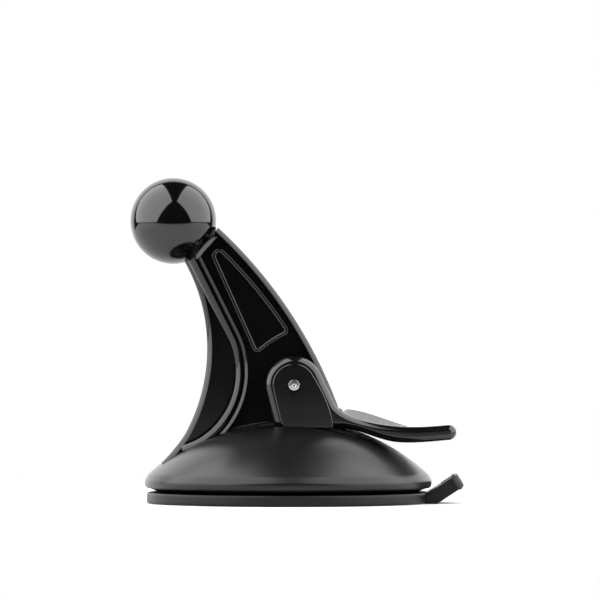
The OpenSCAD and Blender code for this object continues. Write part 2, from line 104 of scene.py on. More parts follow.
# Arm
PIVOT = side_point(JOINTS["lever_hinge"]["pos_m"])
FOOT_W = 13.4
FOOT_FRONT = 22.6
FOOT_RISE = 0.3
FLANGE_W = 1.0
FRONT_INSET = 1.6
PANEL_DEPTH = 1.0
WEB_T = 3.4
FRONT_BOW = 5.1
BACK_BOW = 2.25
BACK_FOOT_X = 8.15
BACK_FOOT_DROP = 3.05
NECK_FRONT = 0.35
RIB_R = 17.65
RIB_GAP = 9
RIB_RISE = 2.45
RIB_ACROSS = -1.6
RIB_W = 2.65
GROOVE_W = 0.25
GROOVE_DEPTH = 0.7
OUTER_STRIP_W = 1.0
OUTER_STRIP_DROP = 0.1
# How far pieces of the arm run into each other: in millimetres, then in degrees of turn
PANEL_LAP = 0.4
NECK_LAP = 0.3
WEB_LAP = 1.2
BACK_LAP = 5
BACK_TOP_LAP = 0.6
FRONT_TOP_LAP = 3
WEB_FOOT_LAP = 4
# Where the lines round the rib's centre end, inside the dome that is cut away later
RIB_END = -72
PANEL_END = -62
WEB_END = -74
BEAD_W = 0.95
BEAD_H = 0.45
FLARE = 1.8
FLARE_SINK = 0.45
FLARE_TURN = 8
SEAT_LINE_W = 0.3
SEAT_LINE_H = 0.15
SEAT_LINE_LIFT = 0.1
SEAT_LINE_FROM = 110
SEAT_LINE_TO = 95
SEAT_LINE_LEAN = 60
# Lean of a rolled face's normal: on an edge from the side face to the rim, and on the rib's two strips
ROLL_FACE = 17
ROLL_RIM = 80
INNER_LEAN = 13
OUTER_LEANS = (20, 42)

# Lever
EAR_R = 5.6
CAM_H = 8.4
CAM_RATE = 2.3
LEVER_TRAVEL = 80
EAR_PLAY = 0.2
EAR_IN = FOOT_W / 2 + EAR_PLAY
EAR_OUT = 9.0
BOSS_H = 0.4
LOBE_W = 1.1
LOBE_OUT = EAR_IN + LOBE_W
LOBE_BACK = 7
PIN_R = 1.1
HEEL_X = 7.75
EAR_BACK = 27
EAR_FRONT = 194
HANDLE_MID = 20.0
HANDLE_DROP = 7.95
HANDLE_T = 3.15
HANDLE_SLOPE = -5.2
HANDLE_PULL = 3.4
TIP_SLOPE = 5
TIP_R = 1.5
TIP_X = 32.7
TIP_DROP = 9.2
TIP = Vector((TIP_X - TIP_R, PIVOT.y - TIP_DROP))
EDGE_W = 1.15
BOSS_INSET = 1.4
RAMP_X = 10.6
RAMP_DROP = 4.7
RAMP_HALF = 7.6
RAMP_REACH = 22.0
RAMP_SLOPE = 20
RAMP_BEVEL = 0.3
LEVER_GAP = 0.5
HEEL_SLOPE = -0.44
CAM_FOOT_X = -2.5
CAM_FOOT_R = 1.5
BOSS_EDGE = 0.3
RECESS_DEPTH = 0.9
RECESS_ROOM = 0.3
PIN_FIT = 0.05
PIN_SLOT_ROOM = 0.4
PIN_END = 9.3
POCKET_FRONT = EAR_R + 1.5
POCKET_BACK = 14.5
CAM_SEAT_GAP = 0.12
POCKET_DEPTH = 1.6

# Suction disc
DISC_R = 27.6
DISC_T = 2.2
DISH_DEPTH = 0.9
SEALING_W = 6.0
CORE_R = 12.4
TAB_ANGLE = 33
TAB_W = 13.5
TAB_L = 6.4
TAB_T = 2.8
TAB_BEND = 1.4
TAB_R = 2.0
TAB_START = -1
TAB_EDGE = 0.4
TAB_SLOT_IN = 0.42 * TAB_L
TAB_SLOT_L = 2.4
TAB_SLOT_W = 5.7
TAB_RIDGE_X = TAB_L - 0.9
TAB_RIDGE_W = 9.2
TAB_RIDGE_R = 0.4
TAB_RIDGE_H = 0.2
TAB_ROOT_R = 0.6
TAB_ROOT_IN = 0.05
TAB_ROOT_EDGE = 0.3

# A hair of room between pieces that touch, and a reach that takes a cutter through everything
FIT = 0.02
THROUGH = 20


# Points and curves of the side plane

def polar(centre, degrees, radius):
    """The point at an angle and a distance from a centre."""
    turn = math.radians(degrees)
    return centre + radius * Vector((math.cos(turn), math.sin(turn)))


def in_space(point, y=0):
    """A point of the side plane, moved across it by y."""
    return Vector((point.x, y, point.y))


def angle_of(point, centre):
    """The angle at which a centre sees a point."""
    return math.degrees(math.atan2(point.y - centre.y, point.x - centre.x))


def arc(centre, radius, start, end, steps):
    """Points along an arc between two angles."""
    return [polar(centre, start + (end - start) * i / steps, radius) for i in range(steps + 1)]


def bow_arc(p, q, bow):
    """Centre and radius of the arc from p to q that bows to the left of that direction."""
    chord = q - p
    radius = (chord.length_squared / 4 + bow ** 2) / (2 * bow)
    left = Vector((-chord.y, chord.x)).normalized()
    return (p + q) / 2 + left * (bow - radius), radius


def bezier(a, b, c, d, steps=16):
    """Points along a cubic curve, without its last one."""
    return [(1 - t) ** 3 * a + 3 * (1 - t) ** 2 * t * b + 3 * (1 - t) * t ** 2 * c + t ** 3 * d
            for t in (i / steps for i in range(steps))]


def neck_point(distance, across):
    """A point given by its distance from the ball's centre along the neck, and across it."""
    return BALL + NECK_DIR * distance + NECK_ACROSS * across


def dome_height(radius):
    """Height of the dome's outer face at a radius."""
    return DOME_C + math.sqrt(DOME_R ** 2 - radius ** 2)


def dome_arc(radius, start, end, steps):
    """Points along an arc round the dome's centre."""
    return arc(Vector((0, DOME_C)), radius, start, end, steps)


def dome_lean(reach, radius):
    """The lean of a spherical face at a reach from the dome's axis."""
    return math.degrees(math.asin(reach / radius))


def pivot_point(x, z):
    """A point given from the pivot pin."""
    return PIVOT + Vector((x, z))


def belt(circles, bows, steps=10):
    """A closed line round circles given counter-clockwise, with each straight run bowed outwards."""
    runs = []
    for i, (centre, radius) in enumerate(circles):
        other, other_radius = circles[(i + 1) % len(circles)]
        along = (other - centre).normalized()
        lean = (radius - other_radius) / (other - centre).length
        out = along * lean + Vector((along.y, -along.x)) * math.sqrt(1 - lean ** 2)
        runs.append((centre + out * radius, other + out * other_radius, out))
    line = []
    for i, (start, end, out) in enumerate(runs):
        line += [start.lerp(end, t) + out * 4 * bows[i] * t * (1 - t)
                 for t in (k / steps for k in range(steps + 1))]
        centre, radius = circles[(i + 1) % len(circles)]
        first = angle_of(end, centre)
        turn = (angle_of(runs[(i + 1) % len(runs)][0], centre) - first) % 360
        line += arc(centre, radius, first, first + turn, steps)[1:-1]
    return line


# The arm's edges and its curved rib
FRONT_TOP = neck_point(NECK_END, -NECK_W / 2 - NECK_FRONT)
FRONT_FOOT = Vector((-FOOT_FRONT, dome_height(FOOT_FRONT) + FOOT_RISE))
BACK_TOP = neck_point(NECK_END, NECK_W / 2)
BACK_FOOT = pivot_point(BACK_FOOT_X, -BACK_FOOT_DROP)
FRONT_C, FRONT_R = bow_arc(FRONT_TOP, FRONT_FOOT, FRONT_BOW)
BACK_C, BACK_R = bow_arc(BACK_TOP, BACK_FOOT, BACK_BOW)
RIB_C = pivot_point(-RIB_GAP - RIB_R, RIB_RISE)
RIB_TOP = neck_point(NECK_END, RIB_ACROSS)
RIB_LEAN = angle_of(RIB_TOP, RIB_C) - math.degrees(math.acos(RIB_R / (RIB_TOP - RIB_C).length))
TAPER = (FOOT_W - NECK_W) / 2 / (FRONT_TOP.y - CROWN_Z)


def arm_half(z):
    """Half of the arm's width at a height."""
    return FOOT_W / 2 - TAPER * max(0, z - CROWN_Z)


def rib_line(radius, last=RIB_END):
    """The rib's line at a radius: down the tangent from the neck, then round the arc to the dome."""
    corner = polar(RIB_C, RIB_LEAN, radius)
    rise = math.sqrt((RIB_TOP - RIB_C).length_squared - RIB_R ** 2)
    top = polar(corner, RIB_LEAN + 90, rise)
    steps = 20
    straight = [top.lerp(corner, i / steps) for i in range(steps)]
    return straight + arc(RIB_C, radius, RIB_LEAN, last, 48)


# Meshes

def piece_from(name, points, faces):
    """A mesh object of points in millimetres, merged where they meet and turned outwards."""
    mesh = bpy.data.meshes.new(name)
    mesh.from_pydata([Vector(p) * MM for p in points], [], faces)
    sheet = bmesh.new()
    sheet.from_mesh(mesh)
    bmesh.ops.remove_doubles(sheet, verts=sheet.verts, dist=1e-7)
    bmesh.ops.dissolve_degenerate(sheet, edges=sheet.edges, dist=1e-8)
    bmesh.ops.recalc_face_normals(sheet, faces=sheet.faces)
    sheet.to_mesh(mesh)
    sheet.free()
    piece = bpy.data.objects.new(name, mesh)
    bpy.context.scene.collection.objects.link(piece)
    return piece


def loft(name, rings, path_closed=False):
    """A skin over closed rings of points. An open path gets a cap at each end."""
    count = len(rings[0])
    points = [p for ring in rings for p in ring]
    faces = []
    for i in range(len(rings) if path_closed else len(rings) - 1):
        here, there = i * count, (i + 1) % len(rings) * count
        for k in range(count):
            n = (k + 1) % count
            faces.append((here + k, here + n, there + n, there + k))
    if not path_closed:
        faces.append(tuple(range(count)))
        faces.append(tuple(range(len(points) - count, len(points))))
    return piece_from(name, points, faces)


def lathe(name, profile, steps, place=Matrix()):
    """A turned solid. The profile is a closed line of (radius, height)."""
    rings = []
    for i in range(steps):
        turn = math.tau * i / steps
        rings.append([place @ Vector((r * math.cos(turn), r * math.sin(turn), z)) for r, z in profile])
    return loft(name, rings, path_closed=True)


def rounded_section(half_u, half_v, radius, steps=5):
    """A closed section with quarter-round corners."""
    section = []
    for corner, (su, sv) in enumerate(((1, 1), (-1, 1), (-1, -1), (1, -1))):
        centre = Vector((su * (half_u - radius), sv * (half_v - radius)))
        section += arc(centre, radius, 90 * corner, 90 * corner + 90, steps)
    return section


def line_normals(line, closed=False):
    """Unit normals to the right of a line's direction."""
    normals = []
    for i in range(len(line)):
        before = line[i - 1] if closed or i else line[0]
        after = line[(i + 1) % len(line)] if closed or i + 1 < len(line) else line[-1]
        along = (after - before).normalized()
        normals.append(Vector((along.y, -along.x)))
    return normals


def roll(width, inner, outer, steps=10):
    """A rolled face as (across, drop) pairs along an arc whose normal leans between two angles."""
    first, last = math.radians(inner), math.radians(outer)
    radius = width / (math.sin(last) - math.sin(first))
    crest = math.cos(0 if first < 0 < last else min(abs(first), abs(last)))
    return [((math.sin(turn) - math.sin(first)) * radius - width / 2, (crest - math.cos(turn)) * radius)
            for turn in (first + (last - first) * i / steps for i in range(steps + 1))]


def strip(name, line, profile, inset):
    """A rib along a line of the side plane, with the same rolled face on both sides of the arm."""
    rings = []
    for point, normal in zip(line, line_normals(line)):
        ring = []
        for side, run in ((-1, profile), (1, profile[::-1])):
            for across, drop in run:
                place = point + normal * across
                ring.append(in_space(place, side * (arm_half(point.y) - inset - drop)))
        rings.append(ring)
    return loft(name, rings)


def bead(name, line, width, height, side, floor_inset):
    """A rounded bead along a closed line on one side panel of the arm."""
    nearly_round = 0.98
    rings = []
    for point, normal in zip(line, line_normals(line, closed=True)):
        ring = []
        for u, v in rounded_section(width / 2, height, min(width / 2, height) * nearly_round):
            place = point + normal * u
            ring.append(in_space(place, side * (arm_half(place.y) - floor_inset + v)))
        rings.append(ring)
    return loft(name, rings, path_closed=True)


def inset_line(line, distance):
    """A closed counter-clockwise line drawn in by a distance."""
    drawn = []
    for i, point in enumerate(line):
        before = (point - line[i - 1]).normalized()
        after = (line[(i + 1) % len(line)] - point).normalized()
        a, b = Vector((-before.y, before.x)), Vector((-after.y, after.x))
        drawn.append(point + (a + b) * distance / (1 + a.dot(b)))
    return drawn


def round_edge(radius, steps):
    """A quarter-round edge as (inset, drop) pairs from the side face to the rim."""
    return [(radius * (1 - math.sin(turn)), radius * (1 - math.cos(turn)))
            for turn in (math.pi / 2 * i / steps for i in range(steps + 1))]


def rolled_edge(width):
    """A wide soft edge as (inset, drop) pairs from the side face to the rim."""
    return [(width / 2 - across, drop) for across, drop in roll(width, ROLL_FACE, ROLL_RIM)]


def plate(name, line, half, edge=((0, 0),)):
    """A slab of the side plane with the same shaped edge on both its sides. Its half width is a
    number, or a function of the height."""
    half_at = half if callable(half) else lambda z: half
    rings = []
    for side, run in ((-1, edge), (1, edge[::-1])):
        for inset, drop in run:
            rings.append([in_space(p, side * (half_at(p.y) - drop)) for p in inset_line(line, inset)])
    return loft(name, rings)


def rectangle(left, right, bottom, top):
    """The corners of a rectangle, counter-clockwise."""
    return (left, bottom), (right, bottom), (right, top), (left, top)


def rounded_rectangle(left, right, half, radius, steps):
    """A closed line of a half width, with corner arcs centred at two lengths along it."""
    corners = rectangle(left, right, radius - half, half - radius)
    return belt([(Vector(corner), radius) for corner in corners], [0] * len(corners), steps)


def box(name, low, high):
    """A plain block between two corners, used as a cutter."""
    line = [Vector(corner) for corner in rectangle(low[0], high[0], low[2], high[2])]
    return loft(name, [[in_space(p, y) for p in line] for y in (low[1], high[1])])


def ball_cutter(name, centre, radius, steps=96):
    """A closed sphere round a point of the side plane, used as a cutter."""
    turns = [math.pi * i / steps for i in range(steps + 1)]
    profile = [(radius * math.sin(turn), centre.y + radius * math.cos(turn)) for turn in turns]
    return lathe(name, profile, steps * 2, Matrix.Translation((centre.x, 0, 0)))


def dome_cutter(room, steps):
    """The whole sphere of the dome with some room round it, used as a cutter."""
    return ball_cutter("dome_cutter", Vector((0, DOME_C)), DOME_R + room, steps)


def tongue_cutter(top):
    """Room for the stem's tongue up to a height."""
    return box("tongue_cutter", (PIVOT.x - TONGUE_ROOM_X, -TONGUE_ROOM_Y, 0),
               (PIVOT.x + TONGUE_ROOM_X, TONGUE_ROOM_Y, top))


def neck_frame():
    """The frame at the ball's centre whose Z runs down the neck."""
    turn = in_space(NECK_DIR).to_track_quat("Z", "X").to_matrix().to_4x4()
    return Matrix.Translation(in_space(BALL)) @ turn


def pin_frame(side):
    """The frame at the pivot whose Z runs out along the pin, towards one side."""
    return Matrix.Translation(in_space(PIVOT)) @ Matrix.Rotation(-side * math.pi / 2, 4, "X")


def bake(piece):
    """Applies a piece's modifiers to its mesh."""
    graph = bpy.context.evaluated_depsgraph_get()
    mesh = bpy.data.meshes.new_from_object(piece.evaluated_get(graph))
    piece.modifiers.clear()
    old = piece.data
    piece.data = mesh
    bpy.data.meshes.remove(old)
    mesh.name = piece.name


def combine(piece, others, operation):
    """Joins other closed pieces to a piece, or cuts them out of it, and deletes them."""
    for other in others:
        change = piece.modifiers.new(operation, "BOOLEAN")
        change.operation = operation
        change.solver = "EXACT"
        change.object = other
        bake(piece)
        mesh = other.data
        bpy.data.objects.remove(other)
        bpy.data.meshes.remove(mesh)
    return piece


def smooth(piece, degrees=32):
    """Smooth shading that breaks at edges sharper than an angle."""
    mesh = piece.data
    mesh.polygons.foreach_set("use_smooth", [True] * len(mesh.polygons))
    mesh.set_sharp_from_angle(angle=math.radians(degrees))
    weigh = piece.modifiers.new("flat faces stay flat", "WEIGHTED_NORMAL")
    weigh.keep_sharp = True
    return piece


def dress(piece, node, body, finish):
    """Gives a finished piece its material and its body, and hides the node that it stands for."""
    piece.data.materials.clear()
    piece.data.materials.append(finish)
    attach(piece, body)
    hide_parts(node)


# Finishes

def linear(hex_colour):
    """A hex sRGB colour as linear red, green, blue and alpha."""
    parts = [int(hex_colour[i:i + 2], 16) / 255 for i in (1, 3, 5)]
    return [c / 12.92 if c <= 0.04045 else ((c + 0.055) / 1.055) ** 2.4 for c in parts] + [1]


def add(tree, kind, settings=(), inputs=(), links=()):
    """Adds a node with its settings, its input values, and links from (node, output) to an input."""
    made = tree.nodes.new(kind)
    for name, value in dict(settings).items():
        setattr(made, name, value)
    for name, value in dict(inputs).items():
        made.inputs[name].default_value = value
    for name, (source, output) in dict(links).items():
        tree.links.new(source.outputs[output], made.inputs[name])
    return made


def new_finish(name):
    """A new material, with its node tree and its main shader."""
    finish = bpy.data.materials.new(name)
    finish.use_nodes = True
    tree = finish.node_tree
    return finish, tree, tree.nodes["Principled BSDF"]


def noise(tree, feature_mm, detail):
    """A noise in the piece's own space, with features of a size in millimetres."""
    place = add(tree, "ShaderNodeTexCoord")
    return add(tree, "ShaderNodeTexNoise", inputs={"Scale": 1 / (feature_mm * MM), "Detail": detail},
               links={"Vector": (place, "Object")})


def tint(tree, shader, pattern, colour, other):
    """Mixes two hex colours by a pattern into the shader's base colour."""
    # The Mix node has sockets of one name for each kind of data, so these go by number
    factor, colour_a, colour_b, result = 0, 6, 7, 2
    mix = add(tree, "ShaderNodeMix", {"data_type": "RGBA"},
              {colour_a: linear(colour), colour_b: linear(other)}, {factor: (pattern, "Fac")})
    tree.links.new(mix.outputs[result], shader.inputs["Base Color"])


def uneven_gloss(tree, shader, pattern, low, high, roughness, spread):
    """Roughness that grows by a spread as a pattern goes from low to high."""
    gloss = add(tree, "ShaderNodeMapRange",
                inputs={"From Min": low, "From Max": high,
                        "To Min": roughness, "To Max": roughness + spread},
                links={"Value": (pattern, "Fac")})
    tree.links.new(gloss.outputs["Result"], shader.inputs["Roughness"])


def moulded(name, colour, worn, roughness, rough_spread, grain_mm, grain_depth_mm, specular=0.5):
    """A moulded plastic: a grain from the tool's surface, faint cloudy wear, and uneven gloss."""
    plastic_ior, cloud_mm = 1.53, 9
    finish, tree, shader = new_finish(name)
    shader.inputs["IOR"].default_value = plastic_ior
    shader.inputs["Specular IOR Level"].default_value = specular
    cloud = noise(tree, cloud_mm, detail=4)
    tint(tree, shader, cloud, colour, worn)
    uneven_gloss(tree, shader, cloud, low=0.3, high=0.7, roughness=roughness, spread=rough_spread)
    bump = add(tree, "ShaderNodeBump", inputs={"Strength": 1, "Distance": grain_depth_mm * MM},
               links={"Height": (noise(tree, grain_mm, detail=3), "Fac")})
    tree.links.new(bump.outputs["Normal"], shader.inputs["Normal"])
    return finish


def bright_steel():
    """Bright steel: a metal with the fine uneven marks of turning and drawing."""
    mark_mm = 0.4
    finish, tree, shader = new_finish("bright_steel_turned")
    shader.inputs["Metallic"].default_value = 1
    marks = noise(tree, mark_mm, detail=4)
    tint(tree, shader, marks, "#8d8d8b", "#b4b4b1")
    uneven_gloss(tree, shader, marks, low=0, high=1, roughness=0.2, spread=0.1)
    return finish


# Polished black ABS: a mirror-like skin that shows the lights as clear shapes
GLOSS_ABS = moulded("polished_black_abs", "#040404", "#070708", roughness=0.06, rough_spread=0.04,
                    grain_mm=0.6, grain_depth_mm=0.0012)
# The same ABS on the arm, from a tool polished less far: duller and softer than the ball
ARM_ABS = moulded("polished_black_abs_arm", "#040404", "#070708", roughness=0.11, rough_spread=0.03,
                  grain_mm=0.6, grain_depth_mm=0.001, specular=0.4)
# Black ABS from a finely blasted tool: broad soft highlights on the dome
SATIN_ABS = moulded("satin_black_abs", "#080808", "#0b0b0c", roughness=0.3, rough_spread=0.03,
                    grain_mm=0.25, grain_depth_mm=0.0015, specular=0.3)
# Black ABS on the lever, from a polished tool that leaves a faint fine grain
LEVER_ABS = moulded("grained_black_abs", "#060606", "#090909", roughness=0.11, rough_spread=0.03,
                    grain_mm=0.3, grain_depth_mm=0.001)
# Soft black PVC: a dull sheen with a little bloom
CUP_PVC = moulded("soft_black_pvc", "#0d0d0d", "#131314", roughness=0.34, rough_spread=0.1,
                  grain_mm=0.5, grain_depth_mm=0.004, specular=0.2)
# Natural acetal: milky and waxy
ACETAL = moulded("natural_acetal", "#dedbd2", "#cfccc2", roughness=0.35, rough_spread=0.1,
                 grain_mm=0.4, grain_depth_mm=0.002)
STEEL = bright_steel()


# Pieces

def make_ball():
    """The ball: turned round the neck's axis, with the stud that goes into the arm."""
    last = math.degrees(math.asin(STUD_R / BALL_R))
    profile = arc(Vector((0, 0)), BALL_R, -90, 90 - last, 120)
    profile += [(STUD_R, STUD_END - STUD_CHAMFER), (STUD_R - STUD_CHAMFER, STUD_END), (0, STUD_END)]
    piece = lathe("ball", profile, 192, neck_frame())
    dress(smooth(piece), "ball", "housing", GLOSS_ABS)


def make_collar():
    """The neck's collar: round at the ball, growing to the arm's rounded square section."""
    # Distances along the neck, each with its share of the neck's width
    stations = ((NECK_START - 1.6, 0.84), (NECK_START + 0.1, 0.87), (NECK_START + 0.3, 0.89),
                (NECK_END - 0.05, 0.985), (NECK_END + 0.05, 0.99), (NECK_END + 0.12, 0.97),
                (NECK_END + 0.14, 0.6))
    round_power, square_power = 2, 3.6
    steps = 64
    rings = []
    for i, (distance, swell) in enumerate(stations):
        power = round_power + (square_power - round_power) * i / (len(stations) - 1)
        ring = []
        for k in range(steps):
            turn = math.tau * k / steps
            c, s = math.cos(turn), math.sin(turn)
            reach = swell * NECK_W / 2 / (abs(c) ** power + abs(s) ** power) ** (1 / power)
            ring.append(in_space(neck_point(distance, reach * c), reach * s))
        rings.append(ring)
    return loft("collar", rings)


def window_line():
    """The bead's line round the side window: three corner circles joined by bowed runs."""
    front = (pivot_point(-7.05, 7.4), 0.75)
    back = (pivot_point(-2.3, 10.6), 0.8)
    apex = (neck_point(NECK_END + 2.8, 0.75), 1.05)
    return belt([front, back, apex], [-0.22, 0.5, 0.0])


def front_edge_line():
    """The middle of the front flange: down the arm's front arc, then flaring out on to the dome."""
    top = angle_of(FRONT_TOP, FRONT_C) + FRONT_TOP_LAP
    foot = angle_of(FRONT_FOOT, FRONT_C) + FLARE_TURN
    line = arc(FRONT_C, FRONT_R + FLANGE_W / 2, top, foot, 56)
    start = line.pop()
    reach = FOOT_FRONT + FLARE
    end = Vector((-reach, dome_height(reach) - FLARE_SINK))
    start_pull, end_pull = 1.6, 1.4
    down = polar(start, foot - 90, start_pull)
    landing = polar(end, dome_lean(reach, DOME_R), end_pull)
    return line + bezier(start, down, landing, end) + [end]


def panel_line():
    """The side panel's outline: up the back flange, over to the neck, and down the rib."""
    top = angle_of(BACK_TOP, BACK_C)
    foot = angle_of(BACK_FOOT, BACK_C) - BACK_LAP
    back_edge = arc(BACK_C, BACK_R - FLANGE_W / 2, foot, top, 40)
    return back_edge + [neck_point(NECK_END + NECK_LAP, 0)] + rib_line(RIB_R - PANEL_LAP, PANEL_END)


def web_line():
    """The thin web's outline, between the rib and the front flange."""
    top = angle_of(FRONT_TOP, FRONT_C)
    foot = angle_of(FRONT_FOOT, FRONT_C) - WEB_FOOT_LAP
    rib_edge = rib_line(RIB_R - RIB_W + WEB_LAP, WEB_END)
    return rib_edge[::-1] + arc(FRONT_C, FRONT_R + FLANGE_W / 2, top, foot, 48)


def seat_line():
    """The fine line on the dome where the side panel stands on it."""
    panel_half = arm_half(CROWN_Z) - PANEL_DEPTH + SEAT_LINE_H
    radius = math.sqrt(DOME_R ** 2 - panel_half ** 2) + SEAT_LINE_LIFT
    return dome_arc(radius, SEAT_LINE_FROM, SEAT_LINE_TO, 24)


def make_arm():
    """The arm: edge flanges, the grooved rib, side panels with their window beads, and the collar."""
    back_line = arc(BACK_C, BACK_R - FLANGE_W / 2, angle_of(BACK_TOP, BACK_C) + BACK_TOP_LAP,
                    angle_of(BACK_FOOT, BACK_C) - BACK_LAP, 64)
    seat_face = roll(SEAT_LINE_W, -SEAT_LINE_LEAN, SEAT_LINE_LEAN)
    groove_r = RIB_R - OUTER_STRIP_W - GROOVE_W
    inner_w = RIB_W - OUTER_STRIP_W - GROOVE_W
    outer_line = rib_line(RIB_R - OUTER_STRIP_W / 2)
    groove_floor = [(-0.5, 0), (0.5, 0)]

    arm = strip("arm", back_line, roll(FLANGE_W, -ROLL_RIM, -ROLL_FACE), 0)
    parts = [
        strip("inner_rib", rib_line(groove_r - inner_w / 2), roll(inner_w, INNER_LEAN, ROLL_RIM), 0),
        strip("outer_rib", outer_line, roll(OUTER_STRIP_W, *OUTER_LEANS), OUTER_STRIP_DROP),
        strip("groove", rib_line(groove_r + GROOVE_W / 2), groove_floor, GROOVE_DEPTH),
        plate("panel", panel_line(), lambda z: arm_half(z) - PANEL_DEPTH),
        plate("web", web_line(), WEB_T / 2),
        make_collar(),
        strip("seat_line", seat_line(), seat_face, PANEL_DEPTH - SEAT_LINE_H),
    ]
    parts += [bead("bead", window_line(), BEAD_W, BEAD_H, side, PANEL_DEPTH) for side in (-1, 1)]
    combine(arm, parts, "UNION")

    front = plate("front_cutter", arc(FRONT_C, FRONT_R - FIT, 0, 360, 180)[:-1], THROUGH)
    combine(arm, [front], "DIFFERENCE")
    flange = strip("front_flange", front_edge_line(), roll(FLANGE_W, ROLL_FACE, ROLL_RIM), FRONT_INSET)
    combine(arm, [flange], "UNION")

    slot_r = PIN_R + PIN_SLOT_ROOM
    lift = CAM_RATE * math.radians(LEVER_TRAVEL)
    pin_slot = arc(PIVOT, slot_r, 0, 180, 24) + arc(PIVOT - Vector((0, lift)), slot_r, 180, 360, 24)
    hole_r, hole_end = STUD_R + STUD_FIT, STUD_END + STUD_ROOM
    cutters = [
        dome_cutter(FIT, 160),
        ball_cutter("ball_cutter", BALL, BALL_R + FIT),
        lathe("stud_cutter", [(0, 0), (hole_r, 0), (hole_r, hole_end), (0, hole_end)], 48, neck_frame()),
        tongue_cutter(PIVOT.y + TONGUE_ROOM_X),
        plate("pin_slot", pin_slot, THROUGH),
    ]
    combine(arm, cutters, "DIFFERENCE")
    dress(smooth(arm), "arm", "housing", ARM_ABS)


def make_dome():
    """The dome: a spherical cover with a bevelled rim band, and pockets under the lever's ears."""
    inner_r = DOME_R - DOME_WALL
    ledge_r, ledge_z = RIM_R - LEDGE_IN, DISC_T + LEDGE_GAP
    inside_from = 90 - dome_lean(RIM_R - INSIDE_IN, inner_r)
    profile = dome_arc(DOME_R, 90, 90 - dome_lean(CREASE_R, DOME_R), 72)
    profile += [(RIM_R - inset, CREASE_Z - drop) for inset, drop in RIM_SHOULDER]
    profile += [(RIM_R - inset, RIM_Z + rise) for inset, rise in RIM_FOOT]
    profile += [(RIM_R - UNDERCUT_IN, ledge_z), (ledge_r, ledge_z), (ledge_r, LEDGE_TOP)]
    profile += dome_arc(inner_r, inside_from, 90 - dome_lean(CROWN_R, inner_r), 24)
    profile += [(CROWN_R, CROWN_SEAT_Z), (0, CROWN_SEAT_Z)]
    dome = lathe("dome", profile, 256)

    above = CROWN_Z + 5
    cutters = [tongue_cutter(above)]
    outer = EAR_OUT + BOSS_H + LEVER_GAP
    cam_z = PIVOT.y - CAM_H
    for side in (-1, 1):
        for inner, floor in ((EAR_IN, cam_z - CAM_SEAT_GAP), (LOBE_OUT, cam_z - POCKET_DEPTH)):
            near, far = sorted((side * (inner - LEVER_GAP / 2), side * outer))
            cutters.append(box("pocket", (PIVOT.x - POCKET_FRONT, near, floor),
                               (PIVOT.x + POCKET_BACK, far, above)))
    combine(dome, cutters, "DIFFERENCE")
    dress(smooth(dome, 24), "dome", "housing", SATIN_ABS)


def lever_top():
    """The lever's upper side, from the tip's top along the handle to the ear's root."""
    root = pivot_point(HEEL_X, HEEL_SLOPE * HEEL_X)
    high = pivot_point(HANDLE_MID, -HANDLE_DROP)
    tip = TIP + Vector((0, TIP_R))
    pull = HANDLE_PULL
    line = bezier(tip, polar(tip, 180 + TIP_SLOPE, pull), polar(high, HANDLE_SLOPE, pull), high)
    line += bezier(high, polar(high, 180 + HANDLE_SLOPE, 1.7 * pull),
                   polar(root, EAR_BACK - 90, 0.9 * pull), root)
    return line


def lever_line():
    """The lever's whole side outline: cam foot, handle, tip and rounded ear."""
    foot = pivot_point(HEEL_X + 1.3 * BOSS_INSET, -CAM_H)
    low = pivot_point(HANDLE_MID, -HANDLE_DROP - HANDLE_T)
    tip = TIP - Vector((0, TIP_R))
    back, pull = 180 + HANDLE_SLOPE, HANDLE_PULL
    line = bezier(foot, polar(foot, HANDLE_SLOPE, pull), polar(low, back, pull), low)
    line += bezier(low, polar(low, HANDLE_SLOPE, pull), polar(tip, 180 + TIP_SLOPE, pull), tip)
    line += arc(TIP, TIP_R, -90, 90, 16)[:-1]
    line += lever_top()
    line += arc(PIVOT, EAR_R, EAR_BACK, EAR_FRONT, 40)
    line += arc(pivot_point(CAM_FOOT_X, CAM_FOOT_R - CAM_H), CAM_FOOT_R, EAR_FRONT, 270, 10)
    return line


def boss_line():
    """The raised boss on each ear, which leaves a rounded edge strip round it."""
    radius = EAR_R - BOSS_INSET
    line = [pivot_point(-2.0, -CAM_H), pivot_point(HEEL_X - 0.15, -CAM_H)]
    line += bezier(pivot_point(7.5, -7.0), pivot_point(7.3, -5.4), pivot_point(6.2, -2.0),
                   polar(PIVOT, EAR_BACK, radius), 10)
    line += arc(PIVOT, radius, EAR_BACK, EAR_FRONT, 32)
    line += [pivot_point(-2.6, -7.4)]
    return line


def make_ramp():
    """The thumb ramp: a wedge on the handle with sloping sides, lowest towards the tip."""
    under = lever_top()[::-1]
    front = pivot_point(RAMP_X - 1.3, -5.2)
    top, end = pivot_point(RAMP_X - 0.2, -RAMP_DROP), pivot_point(RAMP_REACH, -HANDLE_DROP)
    crest = [front] + bezier(top, polar(top, HANDLE_SLOPE, HANDLE_PULL),
                             polar(end, 165, 1.2 * HANDLE_PULL), end) + [end]
    slope = math.tan(math.radians(RAMP_SLOPE))
    sink, root, crown = 0.05, 2, 0.02
    rings = []
    for point in crest:
        p, q = next((p, q) for p, q in zip(under, under[1:]) if p.x <= point.x <= q.x)
        base = p.lerp(q, (point.x - p.x) / (q.x - p.x)).y - sink
        reach = RAMP_HALF - max(sink, point.y - base) / slope
        bevel = min(RAMP_BEVEL, (RAMP_HALF - reach) / 2)
        side = [(RAMP_HALF, base - root), (RAMP_HALF, base),
                (reach + bevel, max(base, point.y - bevel * slope)),
                (reach, max(base, point.y - crown)), (reach - bevel, max(base, point.y))]
        rings.append([Vector((point.x, y, z)) for y, z in side] +
                     [Vector((point.x, -y, z)) for y, z in reversed(side)])
    return loft("ramp", rings)


